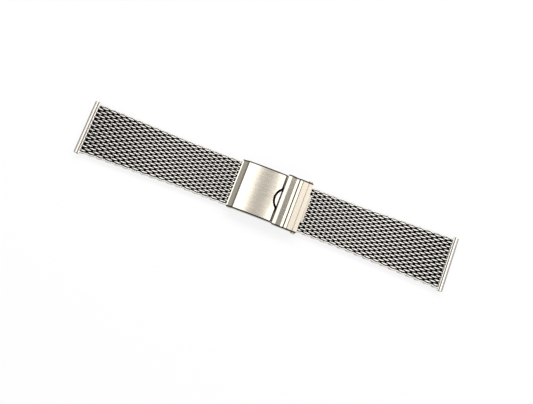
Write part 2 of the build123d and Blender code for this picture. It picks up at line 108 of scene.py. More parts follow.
class WeaveSettings(bpy.types.PropertyGroup):
    coil_step: FloatProperty(
        name="Coil Step", description="Distance from one coil to the next along the band",
        default=1.8 * MM, unit="LENGTH")
    wire: FloatProperty(
        name="Wire", description="Thickness of the wire", default=0.72 * MM, unit="LENGTH")
    reach: FloatProperty(
        name="Reach", description="Half the length of a coil, to the middle of its wire",
        default=1.45 * MM, unit="LENGTH")
    rise: FloatProperty(
        name="Rise", description="Half the height of a coil, to the middle of its wire",
        default=0.75 * MM, unit="LENGTH")
    crest: FloatProperty(
        name="Crest", description="Height over the mesh's middle from which the crests are rolled flat",
        default=1.03 * MM, unit="LENGTH")
    lean: FloatProperty(
        name="Lean", description="Share of a turn's advance that its ends take",
        default=1.1, min=0.0, max=1.5)
    knee: FloatProperty(
        name="Knee", description="Share of a turn's advance moved from its corners to its ends",
        default=0.35, min=0.0, max=0.5)
    hang: FloatProperty(
        name="Hang", description="Share of a turn's advance moved from its top to its underside",
        default=0.25, min=0.0, max=0.5)
    fullness: FloatProperty(
        name="Fullness", description="How much flatter than an ellipse a coil is on top",
        default=0.45, min=0.0, max=0.9)
    squareness: FloatProperty(
        name="Squareness", description="How much a coil's ends bulge beyond an ellipse",
        default=0.25, min=0.0, max=0.5)
    turns: IntProperty(name="Turns", description="Turns of one coil", default=11, min=2)
    steps: IntProperty(name="Steps", description="Stretches of wire in one turn", default=18, min=8)
    sides: IntProperty(name="Sides", description="Sides of the wire", default=10, min=4)
    edge_margin: FloatProperty(
        name="Edge Margin", description="From the mesh's edge to its outermost crest",
        default=1.12 * MM, unit="LENGTH")
    rim: FloatProperty(
        name="Rim", description="Half the thickness of the fused edge", default=0.36 * MM, unit="LENGTH")
    rim_rise: FloatProperty(
        name="Rim Rise", description="How much taller than wide the fused edge is", default=1.9)
    rim_wave: FloatProperty(
        name="Rim Wave", description="How far the fused edge swings in and out",
        default=0.11 * MM, unit="LENGTH")


class SteelSettings(bpy.types.PropertyGroup):
    wire_colour: FloatVectorProperty(
        name="Wire", description="Steel of the woven wire", subtype="COLOR",
        default=(0.715, 0.705, 0.702))
    # Painted shade: the colour of the wire and of the slab deep between the coils.
    gap_shade_colour: FloatVectorProperty(
        name="Gaps", description="Steel deep between the coils", subtype="COLOR",
        default=(0.012, 0.010, 0.008))
    sheet_colour: FloatVectorProperty(
        name="Sheet", description="Brushed steel of the clasp", subtype="COLOR",
        default=(0.84, 0.775, 0.68))
    tube_colour: FloatVectorProperty(
        name="Tube", description="Polished steel of the lug tubes", subtype="COLOR",
        default=(0.86, 0.83, 0.78))
    inner_colour: FloatVectorProperty(
        name="Inner", description="Plain steel inside the clasp", subtype="COLOR",
        default=(0.58, 0.56, 0.52))


class StageSettings(bpy.types.PropertyGroup):
    frame_width: FloatProperty(
        name="Frame Width", description="Picture width in pixels", default=533.0)
    lens: FloatProperty(name="Lens", description="Focal length in millimetres", default=35.0)
    distance: FloatProperty(
        name="Distance", description="From the lens to the band", default=0.2012, unit="LENGTH")
    tilt: FloatProperty(
        name="Tilt", description="Lean of the view away from straight down",
        default=math.radians(8.0), subtype="ANGLE")
    roll: FloatProperty(
        name="Roll", description="Slope of the band across the picture",
        default=math.radians(20.83), subtype="ANGLE")
    centre_x_px: FloatProperty(
        name="Centre X", description="Band's middle, pixels right of the picture's", default=1.25)
    centre_y_px: FloatProperty(
        name="Centre Y", description="Band's middle, pixels above the picture's", default=6.6)
    floor_colour: FloatVectorProperty(
        name="Floor", description="Paper under the band", subtype="COLOR", default=(0.92, 0.935, 0.97))
    lamp_height: FloatProperty(
        name="Lamp Height", description="Height of the soft boxes", default=0.6, unit="LENGTH")
    lamp_level: FloatProperty(
        name="Lamp Level", description="Brightness of the soft boxes", default=1.35)
    strip_level: FloatProperty(
        name="Strip Level", description="Brightness of the strip behind the band", default=3.4)
    sky_level: FloatProperty(
        name="Sky Level", description="Brightness of the room overhead", default=0.5)
    wall_level: FloatProperty(
        name="Wall Level", description="Brightness of the room's walls", default=0.34)
    horizon_level: FloatProperty(
        name="Horizon Level", description="Brightness of the room near the floor", default=0.06)


class Value:
    """A number that varies over a surface or along a wire, written as an expression."""

    def __init__(self, bench, socket):
        self.bench = bench
        self.socket = socket

    def math(self, operation, *others):
        inputs = dict(enumerate((self, *others)))
        return self.bench.value("ShaderNodeMath", {"operation": operation}, inputs)

    def mirrored(self, operation, other):
        return self.bench.value("ShaderNodeMath", {"operation": operation}, {0: other, 1: self})

    def ramp(self, low, high, start=0.0, end=1.0, kind="SMOOTHSTEP"):
        """Goes from start to end while this value goes from low to high."""
        return self.bench.value("ShaderNodeMapRange", {"interpolation_type": kind}, {
            "Value": self, "From Min": low, "From Max": high, "To Min": start, "To Max": end})

    def between(self, low, high):
        """Held between a lowest and a highest number."""
        return self.math("MAXIMUM", low).math("MINIMUM", high)

    def __abs__(self):
        return self.math("ABSOLUTE")

    def __add__(self, other):
        return self.math("ADD", other)

    def __sub__(self, other):
        return self.math("SUBTRACT", other)

    def __mul__(self, other):
        return self.math("MULTIPLY", other)

    def __truediv__(self, other):
        return self.math("DIVIDE", other)

    def __radd__(self, other):
        return self.mirrored("ADD", other)

    def __rsub__(self, other):
        return self.mirrored("SUBTRACT", other)

    def __rmul__(self, other):
        return self.mirrored("MULTIPLY", other)

    def __neg__(self):
        return self * -1.0


class Bench:
    """Adds nodes to one tree."""

    def __init__(self, tree):
        self.tree = tree

    def give(self, socket, given):
        """Link an input to a value or a socket, or set it to a constant."""
        if isinstance(given, Value):
            given = given.socket
        if isinstance(given, bpy.types.NodeSocket):
            self.tree.links.new(given, socket)
        else:
            socket.default_value = given

    def node(self, kind, settings=None, inputs=None):
        made = self.tree.nodes.new(kind)
        for name, setting in (settings or {}).items():
            setattr(made, name, setting)
        for name, given in (inputs or {}).items():
            self.give(made.inputs[name], given)
        return made

    def out(self, kind, settings=None, inputs=None, output=0):
        return self.node(kind, settings, inputs).outputs[output]

    def value(self, kind, settings=None, inputs=None, output=0):
        return Value(self, self.out(kind, settings, inputs, output))

    def vector(self, x, y, z):
        return self.out("ShaderNodeCombineXYZ", {}, {0: x, 1: y, 2: z})

    def split(self, vector):
        node = self.node("ShaderNodeSeparateXYZ", {}, {0: vector})
        return [Value(self, socket) for socket in node.outputs]

    def mix(self, share, first, second):
        """Colour that goes from the first to the second as the share goes from 0 to 1."""
        first, second = ((*colour, 1.0) if isinstance(colour, tuple) else colour for colour in (first, second))
        return self.out("ShaderNodeMix", {"data_type": "RGBA"}, {0: share, 6: first, 7: second}, 2)


class SteelBench(Bench):
    """Bench for the nodes of a new steel material."""

    def __init__(self, name):
        self.material = bpy.data.materials.new(name)
        self.material.use_nodes = True
        super().__init__(self.material.node_tree)
        self.tree.nodes.clear()
        self.shader = self.node("ShaderNodeBsdfPrincipled", {}, {"Metallic": 1.0})
        self.node("ShaderNodeOutputMaterial", {}, {0: self.shader.outputs[0]})
        self.where = self.out("ShaderNodeTexCoord", {}, {}, 3)

    def noise(self, where, detail, scale=1.0):
        return self.value("ShaderNodeTexNoise", {}, {"Vector": where, "Scale": scale, "Detail": detail})

    def stretched(self, scale, turn=0.0):
        """Place on the piece, scaled along each axis and turned about Z."""
        return self.out("ShaderNodeMapping", {}, {
            "Vector": self.where, "Scale": scale, "Rotation": (0.0, 0.0, turn)})

    def height_share(self):
        """Share of the mesh's half height that the weave stores for each point."""
        return self.value("ShaderNodeAttribute", {"attribute_name": HEIGHT_SHARE}, {}, 2)

    def finish(self, colour, rough):
        self.give(self.shader.inputs["Base Color"], colour)
        self.give(self.shader.inputs["Roughness"], rough)
        return self.material


def wire_steel(steel):
    """Drawn wire: bright rolled crests, with painted shade, dark and a little warmer, down between the coils."""
    bench = SteelBench("drawn_wire_steel")
    # Painted shade: the lower the wire lies in the mesh, the darker and warmer its colour.
    lit = bench.height_share().ramp(0.75, 0.97, kind="LINEAR").math("POWER", 2.05)
    cloud = bench.noise(bench.where, scale=420.0, detail=2.0)
    drawn = bench.mix(lit, SHADED_WIRE, tuple(steel.wire_colour))
    colour = bench.mix(lit, tuple(steel.gap_shade_colour), drawn)
    return bench.finish(colour, rough=0.12 + 0.08 * cloud)


def rim_steel():
    """Fused edge of the mesh: ground, satin, with painted shade darker down its sides."""
    bench = SteelBench("fused_edge_steel")
    cloud = bench.noise(bench.where, scale=900.0, detail=3.0)
    ground = bench.mix(cloud, BRIGHT_SELVEDGE, DULL_SELVEDGE)
    # Painted shade: the fused edge darkens down its sides.
    top = bench.height_share().ramp(0.2, 0.75, kind="LINEAR")
    colour = bench.mix(top, SHADED_SELVEDGE, ground)
    return bench.finish(colour, rough=0.30 + 0.2 * cloud)


def shade_slab_steel(steel):
    """Painted shade for the slab in the weave's middle, where the wires hide one another: near-black steel."""
    bench = SteelBench("shadowed_inner_wire")
    cloud = bench.noise(bench.where, scale=1500.0, detail=1.0)
    dark = tuple(steel.gap_shade_colour)
    colour = bench.mix(cloud, dark, tuple(2.0 * part for part in dark))
    return bench.finish(colour, rough=0.6)


class BrushedSteel(SteelBench):
    """Steel brushed in one direction, with a few stray scratches, whose painted highlights, painted shade and
    coarser finish are laid on step by step.
    """

    ALONG, ACROSS = 60.0, 5200.0                # scale of the finest scratches
    STROKES = (140.0, 2184.0, 2184.0)           # scale of the strokes that show along X
    STRAY_SCALE, STRAY_TURN, STRAY_DEPTH = 0.18, 0.35, 0.4
    CLOUD_SCALE = 160.0
    DARKEST = 0.80                              # share of the colour where the tone is lowest
    BUMP_DEPTH = 0.02 * MM
    # Painted shade on the cut edges and their walls, fading inwards.
    EDGE_SHADE_FADE = (0.65 * MM, 0.4 * MM)       # inwards from the edge
    WALL_SHADE_FADE = (0.09 * MM, 0.04 * MM)

    def __init__(self, name, colour, scratch, rough, along="X"):
        super().__init__(name)
        self.x, self.y = self.split(self.where)[:2]
        scale = [self.ACROSS] * 3
        scale["XYZ".index(along)] = self.ALONG
        grain = self.noise(self.stretched(tuple(scale)), detail=3.0)
        stray = self.stretched(tuple(self.STRAY_SCALE * size for size in scale), turn=self.STRAY_TURN)
        marks = self.noise(stray, detail=2.0)
        cloud = self.noise(self.where, detail=2.0, scale=self.CLOUD_SCALE)
        smoothest, roughest = rough
        self.steel = tuple(colour)
        self.tone = 0.55 + 0.3 * grain + 0.15 * cloud
        self.rough = smoothest + (roughest - smoothest) * grain
        self.height = scratch * (grain + self.STRAY_DEPTH * marks)
        self.shades_and_finishes = []

    def stroke(self, strength):
        """Let brush strokes along X show in the sheet's tone."""
        strokes = self.noise(self.stretched(self.STROKES), detail=1.0)
        self.tone = self.tone + strength * (strokes - 0.5)

    # Lays a colour over the sheet by a share: painted light and shade, or the coarser finish of the plate.
    def shade_and_finish(self, share, colour):
        self.shades_and_finishes.append((share, colour))

    def coarsen_beyond(self, x, fade):
        """Brush the sheet coarser beyond an x."""
        coarse = self.x.ramp(x, x + fade)
        self.shade_and_finish(coarse * 0.75, COARSE_STEEL)
        self.rough = self.rough + 0.14 * coarse

    def paint_highlight_before(self, x, fade):
        """Paint a highlight on the sheet before an x, as a paler colour."""
        self.shade_and_finish(self.x.ramp(x - fade, x, 1.0, 0.0), PAINTED_HIGHLIGHT)

    def paint_edge_shade(self, edge):
        """Paint shade on the cut edges and the walls under them, both that far from the band's middle line."""
        off = abs(self.y)
        for (inner, outer), colour in ((self.EDGE_SHADE_FADE, PAINTED_EDGE_SHADE), (self.WALL_SHADE_FADE, PAINTED_WALL_SHADE)):
            self.shade_and_finish(off.ramp(edge - inner, edge - outer), colour)

    def paint_shade_round(self, x, radius, fade):
        """Paint deep shade into a circle about (x, 0); a fade below zero paints it into what lies outside the
        circle instead.
        """
        flat = self.out("ShaderNodeVectorMath", {"operation": "MULTIPLY"}, {0: self.where, 1: (1.0, 1.0, 0.0)})
        far = self.value("ShaderNodeVectorMath", {"operation": "DISTANCE"}, {0: flat, 1: (x, 0.0, 0.0)}, 1)
        self.shade_and_finish(far.ramp(radius, radius + fade, 1.0, 0.0), DEEP_PAINTED_SHADE)

    # Paints shade beyond an x.
    def paint_shade_beyond(self, x, fade):
        self.shade_and_finish(self.x.ramp(x, x + fade), PAINTED_SHADE)

    def paint_shade_line(self, x, half, share):
        """Paint shade along a line across the band by a share, which fades out at half its width."""
        off = abs(self.x - x)
        self.shade_and_finish(off.ramp(0.4 * half, half, share, 0.0), PAINTED_SHADE)

    def flatten_tube(self, x, radius, share):
        """Polish a tube at each end of the band, that far from its middle, a share flatter than round."""
        off = abs(self.x) - x
        squared = radius * radius - off * off
        round_height = squared.math("MAXIMUM", 0.1 * radius * radius).math("SQRT")
        self.height = self.height + (radius - round_height) * (share / self.BUMP_DEPTH)

    def done(self):
        """Put tone, painted light and shade, the coarser finish, roughness and scratches together to the
        material.
        """
        colour = self.mix(self.tone, tuple(self.DARKEST * part for part in self.steel), self.steel)
        for share, shade_and_finish in self.shades_and_finishes:
            colour = self.mix(share, colour, shade_and_finish)
        bump = self.out("ShaderNodeBump", {}, {
            "Strength": 1.0, "Distance": self.BUMP_DEPTH, "Height": self.height})
        self.give(self.shader.inputs["Normal"], bump)
        return self.finish(colour, self.rough)


class WeaveTree(Bench):
    """Node tree of one zone of mesh: its coils, its two fused edges and its dark slab of painted shade."""

    INPUTS = {
        "NodeSocketInt": ("Coils", "Turns", "Steps", "Sides", "Parity"),
        "NodeSocketFloat": (
            "First Coil", "Coil Step", "Wire", "Reach", "Rise", "Crest", "Lean", "Knee", "Hang", "Fullness",
            "Squareness", "Half Width", "Taper Start", "Taper Gain", "Edge Margin", "Low Limit", "High Limit",
            "Mid Height", "Rim", "Rim Rise", "Rim Wave"),
        "NodeSocketMaterial": ("Wire Steel", "Edge Steel", "Shade Slab Steel"),
    }
    TURN = 2 * math.pi
    STOPS_PER_COIL = 10.0      # points of a fused edge for each coil
    RIM_SIDES = 12
    ROLLED_AWAY = 0.55         # share of a crest that the rolling takes
    WIRE_INSIDE = 0.55         # wire's middle to the mesh's edge, in wires
    CREST_MARGIN = 0.04 * MM   # from the start of the rolling to a full crest

    def __init__(self):
        super().__init__(bpy.data.node_groups.new("mesh_zone", "GeometryNodeTree"))
        interface = self.tree.interface
        interface.new_socket("Geometry", in_out="OUTPUT", socket_type="NodeSocketGeometry")
        self.identifiers = {}
        for kind, labels in self.INPUTS.items():
            for label in labels:
                socket = interface.new_socket(label, in_out="INPUT", socket_type=kind)
                self.identifiers[label] = socket.identifier
        self.given = self.node("NodeGroupInput")
        self.pitch = 4.0 * self.crest_y() / (2.0 * self.size("Turns") - 1.0)
        self.stops = self.size("Coils") * self.STOPS_PER_COIL + 1.0
        self.stride = self.size("Coil Step") / self.STOPS_PER_COIL
        self.start = self.size("First Coil") - self.size("Coil Step") / 2.0
        parts = [self.wires(), self.edge(-1.0), self.edge(1.0), self.shade_slab()]
        joined = self.node("GeometryNodeJoinGeometry")
        for part in reversed(parts):
            self.tree.links.new(part, joined.inputs[0])
        lifted = self.out("GeometryNodeTransform", {}, {
            "Geometry": joined.outputs[0], "Translation": self.vector(0.0, 0.0, self.size("Mid Height"))})
        smooth = self.out("GeometryNodeSetShadeSmooth", {}, {"Geometry": lifted})
        self.node("NodeGroupOutput", {}, {0: smooth})

    def size(self, name):
        return Value(self, self.given.outputs[name])

    def crest_y(self):
        """From the band's middle line to the outermost crest."""
        return self.size("Half Width") - self.size("Edge Margin")

    def index(self):
        return self.value("GeometryNodeInputIndex")

    def place(self):
        return self.split(self.out("GeometryNodeInputPosition"))

    def moved(self, geometry, x, y, z):
        return self.out("GeometryNodeSetPosition", {}, {"Geometry": geometry, "Position": self.vector(x, y, z)})

    def line(self, count):
        return self.out("GeometryNodeMeshLine", {}, {"Count": count})

    def curve(self, line):
        return self.out("GeometryNodeMeshToCurve", {}, {"Mesh": line})

    def upright(self, line):
        """Curve along a line, whose section stands upright."""
        return self.out("GeometryNodeSetCurveNormal", {"mode": "Z_UP"}, {"Curve": self.curve(line)})

    def swept(self, curve, section):
        return self.out("GeometryNodeCurveToMesh", {}, {
            "Curve": curve, "Profile Curve": section, "Fill Caps": True})

    def steeled(self, geometry, steel):
        return self.out("GeometryNodeSetMaterial", {}, {"Geometry": geometry, "Material": self.size(steel)})

    def with_height(self, geometry, share):
        """Store each point's share of the half height, which shades the steel."""
        return self.out("GeometryNodeStoreNamedAttribute", {"data_type": "FLOAT", "domain": "POINT"}, {
            "Geometry": geometry, "Name": HEIGHT_SHARE, "Value": share})

    def tapered(self, x, y):
        beyond = abs(x) - self.size("Taper Start")
        return y * (1.0 + beyond.math("MAXIMUM", 0.0) * self.size("Taper Gain"))

    def held_x(self, x):
        """Keep what the strand's end would cut off within the zone."""
        return x.between(self.size("Low Limit"), self.size("High Limit"))

    def coil(self):
        """One coil, wound from edge to edge."""
        size = self.size
        wound = self.line(size("Turns") * size("Steps") + 1.0)
        angle = self.index() * self.TURN / size("Steps")
        phase = angle - math.pi / 2
        swing = (2.0 * phase).math("SINE") * size("Lean") / 2.0 + (4.0 * phase).math("SINE") * size("Knee") / 4.0
        swing = swing + phase.math("COSINE") * size("Hang")
        y = self.crest_y() + self.pitch / 2.0 - (angle + swing) * self.pitch / self.TURN
        run = phase.math("COSINE")
        x = run * (1.0 + size("Squareness") * (1.0 - run * run)) * size("Reach")
        height = phase.math("SINE")
        z = height * (1.0 + size("Fullness") * (1.0 - height * height)) * size("Rise")
        return self.curve(self.moved(wound, x, y, z))

    def coils(self):
        """Coils side by side, every other one half a turn across."""
        size = self.size
        row = self.out("GeometryNodeMeshLine", {}, {
            "Count": size("Coils"), "Start Location": self.vector(size("First Coil"), 0.0, 0.0),
            "Offset": self.vector(size("Coil Step"), 0.0, 0.0)})
        coils = self.out("GeometryNodeInstanceOnPoints", {}, {"Points": row, "Instance": self.coil()})
        odd = (self.index() + size("Parity")).math("MODULO", 2.0)
        coils = self.out("GeometryNodeTranslateInstances", {}, {
            "Instances": coils, "Local Space": False,
            "Translation": self.vector(0.0, -0.5 * odd * self.pitch, 0.0)})
        coils = self.out("GeometryNodeRealizeInstances", {}, {"Geometry": coils})
        x, y, z = self.place()
        reach_y = size("Half Width") - size("Wire") * self.WIRE_INSIDE
        return self.moved(coils, self.held_x(x), self.tapered(x, y.between(-reach_y, reach_y)), z)

    def wires(self):
        """The coils' wire, its crests rolled flat."""
        size = self.size
        section = self.out("GeometryNodeCurvePrimitiveCircle", {}, {
            "Resolution": size("Sides"), "Radius": size("Wire") / 2.0})
        wires = self.swept(self.coils(), section)
        x, y, z = self.place()
        over = (abs(z) - size("Crest")).math("MAXIMUM", 0.0)
        wires = self.moved(wires, x, y, z - z.math("SIGN") * over * self.ROLLED_AWAY)
        wires = self.with_height(wires, abs(z) / (size("Crest") + self.CREST_MARGIN))
        return self.steeled(wires, "Wire Steel")

    def edge(self, side):
        """Fused edge that swings in and out with the coils."""
        size = self.size
        line = self.line(self.stops)
        along = self.index()
        edge_x = self.start + along * self.stride
        beat = (along / self.STOPS_PER_COIL - 0.5 + size("Parity")) * math.pi
        middle_y = side * (size("Half Width") - size("Rim") - size("Rim Wave"))
        edge_y = middle_y + beat.math("COSINE") * size("Rim Wave")
        line = self.moved(line, edge_x, self.tapered(edge_x, edge_y), 0.0)
        bead = self.out("GeometryNodeCurvePrimitiveCircle", {}, {
            "Resolution": self.RIM_SIDES, "Radius": size("Rim")})
        edge = self.swept(self.upright(line), bead)
        x, y, z = self.place()
        edge = self.moved(edge, x, y, z * size("Rim Rise"))
        edge = self.with_height(edge, abs(self.place()[2]) / (size("Rim") * size("Rim Rise")))
        return self.steeled(edge, "Edge Steel")

    def shade_slab(self):
        """Dark slab of painted shade in the weave's middle, where the wires hide one another."""
        size = self.size
        line = self.moved(self.line(self.stops), self.start + self.index() * self.stride, 0.0, 0.0)
        slab = self.out("GeometryNodeCurvePrimitiveQuadrilateral", {"mode": "RECTANGLE"}, {
            "Width": 2.0 * (size("Half Width") - size("Rim")), "Height": size("Wire") / 4.0})
        shade_slab = self.swept(self.upright(line), slab)
        x, y, z = self.place()
        shade_slab = self.moved(shade_slab, self.held_x(x), self.tapered(x, y), z)
        return self.steeled(shade_slab, "Shade Slab Steel")

    def mesh(self, name, inputs):
        """One zone of mesh as a plain object."""
        source = bpy.data.objects.new(f"{name}_source", bpy.data.meshes.new(f"{name}_source"))
        bpy.context.scene.collection.objects.link(source)
        modifier = source.modifiers.new("weave", "NODES")
        modifier.node_group = self.tree
        for label, setting in inputs.items():
            modifier[self.identifiers[label]] = setting
        bpy.context.view_layer.update()
        evaluated = source.evaluated_get(bpy.context.evaluated_depsgraph_get())
        mesh = bpy.data.meshes.new_from_object(evaluated)
        bpy.data.objects.remove(source)
        mesh.name = name
        piece = bpy.data.objects.new(name, mesh)
        bpy.context.scene.collection.objects.link(piece)
        return piece


class Loom:
    """Weaves the zones of both strands with one node tree and one set of sizes."""

    TUBE_GAP = 0.15 * MM

    def __init__(self, weave, steel):
        self.step = weave.coil_step
        self.wire = weave.wire
        self.tree = WeaveTree()
        half_clasp = (MESH_HIGH.y - MESH_LOW.y) / 2
        lug_low, lug_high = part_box("right_mesh_7")
        half_lug = (lug_high.y - lug_low.y) / 2
        self.sizes = {
            "Turns": weave.turns, "Steps": weave.steps, "Sides": weave.sides, "Wire": weave.wire,
            "Reach": weave.reach, "Rise": weave.rise, "Crest": weave.crest, "Lean": weave.lean,
            "Knee": weave.knee, "Hang": weave.hang, "Fullness": weave.fullness,
            "Squareness": weave.squareness, "Half Width": half_clasp, "Taper Start": TAPER_START,
            "Taper Gain": (half_lug / half_clasp - 1) / (TUBE_LOW.x - TAPER_START),
            "Edge Margin": weave.edge_margin, "Mid Height": MID_Z, "Rim": weave.rim,
            "Rim Rise": weave.rim_rise, "Rim Wave": weave.rim_wave, "Wire Steel": wire_steel(steel),
            # The slab's steel is painted shade.
            "Edge Steel": rim_steel(), "Shade Slab Steel": shade_slab_steel(steel),
        }

    def zone(self, name, side, near, coils, low=-BEYOND_ALL, high=BEYOND_ALL):
        """Weave one zone that starts that near to the band's middle."""
        first = near + self.step / 2
        parity = round((first - FIRST_BEND - self.step / 2) / self.step) % 2
        piece = self.tree.mesh(name, {
            **self.sizes, "Coils": coils, "Parity": parity, "First Coil": side * first,
            "Coil Step": side * self.step, "Low Limit": low, "High Limit": high})
        return piece

    def strand(self, label, side, near, low, chain, nodes):
        """Weave a strand from near, its end at the clasp, to its lug tube, and cut it off before low.

        The chain lists its bodies from the clasp outwards, and the nodes are what the mesh replaces there.
        """
        half_bend = BEND_STEP / 2
        inner_end = FIRST_BEND - half_bend
        coils = int((inner_end - near) / self.step + 0.5)
        limits = (-BEYOND_ALL, -low) if side < 0 else (low, BEYOND_ALL)
        start = self.zone(f"{label}_weave_clasp", side, inner_end - coils * self.step, coils, *limits)
        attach(start, chain[0])
        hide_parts(nodes[0])

        for number in range(BENDS):
            hinge = FIRST_BEND + number * BEND_STEP
            coils = round(BEND_STEP / self.step)
            piece = self.zone(f"{label}_weave_{number + 1}", side, hinge - half_bend, coils)
            side * (hinge - half_bend)
            side * (hinge + half_bend)
            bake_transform(piece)
            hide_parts(nodes[number + 1])

        outer = FIRST_BEND + (BENDS - 1) * BEND_STEP + half_bend
        coils = round((TUBE_LOW.x - outer) / self.step)
        stop = TUBE_LOW.x - self.TUBE_GAP
        limits = (-stop, BEYOND_ALL) if side < 0 else (-BEYOND_ALL, stop)
        end = self.zone(f"{label}_weave_lug", side, outer, coils, *limits)
        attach(end, chain[-1])


class BAND_OT_weave_strands(bpy.types.Operator):
    """Weave both strands of the mesh, each zone lying across one hinge line"""

    bl_idname = "band.weave_strands"
    bl_label = "Weave Strands"

    PIN_GAP = 0.9 * MM      # from the strap pin's middle to the first wire

    def execute(self, context):
        loom = Loom(context.scene.band_weave, context.scene.band_steel)
        left = [f"left_mesh_{number}" for number in range(1, BENDS + 2)]
        right = [f"right_mesh_{number}" for number in range(1, BENDS + 1)]
        strap_x = joint_x("strap_hinge")
        tail_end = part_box("tail_end_cap")[1].x
        loom.strand("left", -1, strap_x, strap_x + self.PIN_GAP, left, left)
        loom.strand("right", 1, tail_end, tail_end + loom.wire / 2, ["tail", *right], ["tail_mesh", *right])
        return {"FINISHED"}


class BAND_OT_roll_strap_eye(bpy.types.Operator):
    """Roll the eye that holds the fixed strand on its pin"""

    bl_idname = "band.roll_strap_eye"
    bl_label = "Roll Strap Eye"

    CLEARANCE = 0.03 * MM
    SOFT_EDGE = 0.12 * MM
    SIDES = 48

    def execute(self, context):
        eye = bpy.data.objects.new("strap_eye", self.rolled())
        context.scene.collection.objects.link(eye)
        inner = context.scene.band_steel.inner_colour
        steel = BrushedSteel("rolled_eye_steel", inner, scratch=0.2, rough=(0.25, 0.4), along="Y")
        eye.data.materials.append(steel.done())
        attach(eye, "left_mesh_1")
        return {"FINISHED"}

    def rolled(self):
        """Mesh of a ring round the strap pin, as wide and as thick as the strand."""
        low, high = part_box("strap_pin")
        centre = (low + high) / 2
        bore = (high.z - low.z) / 2 + self.CLEARANCE
        wall = (MESH_HIGH.z - MESH_LOW.z) / 2
        half = (MESH_HIGH.y - MESH_LOW.y) / 2
        soft = self.SOFT_EDGE
        profile = [(bore, half), (wall - soft, half), (wall, half - soft),
                   (wall, -half + soft), (wall - soft, -half), (bore, -half)]
        shell = bmesh.new()
        rings = []
        for turn in range(self.SIDES):
            angle = turn * 2 * math.pi / self.SIDES
            across, up = math.cos(angle), math.sin(angle)
            rings.append([shell.verts.new((centre.x + radius * across, y, centre.z + radius * up))
                          for radius, y in profile])
        for here, after in zip(rings, rings[1:] + rings[:1]):
            for index in range(len(profile)):
                beside = (index + 1) % len(profile)
                shell.faces.new((here[index], after[index], after[beside], here[beside]))
        bmesh.ops.recalc_face_normals(shell, faces=shell.faces)
        mesh = bpy.data.meshes.new("strap_eye")
        shell.to_mesh(mesh)
        shell.free()
        mesh.shade_smooth()
        return mesh


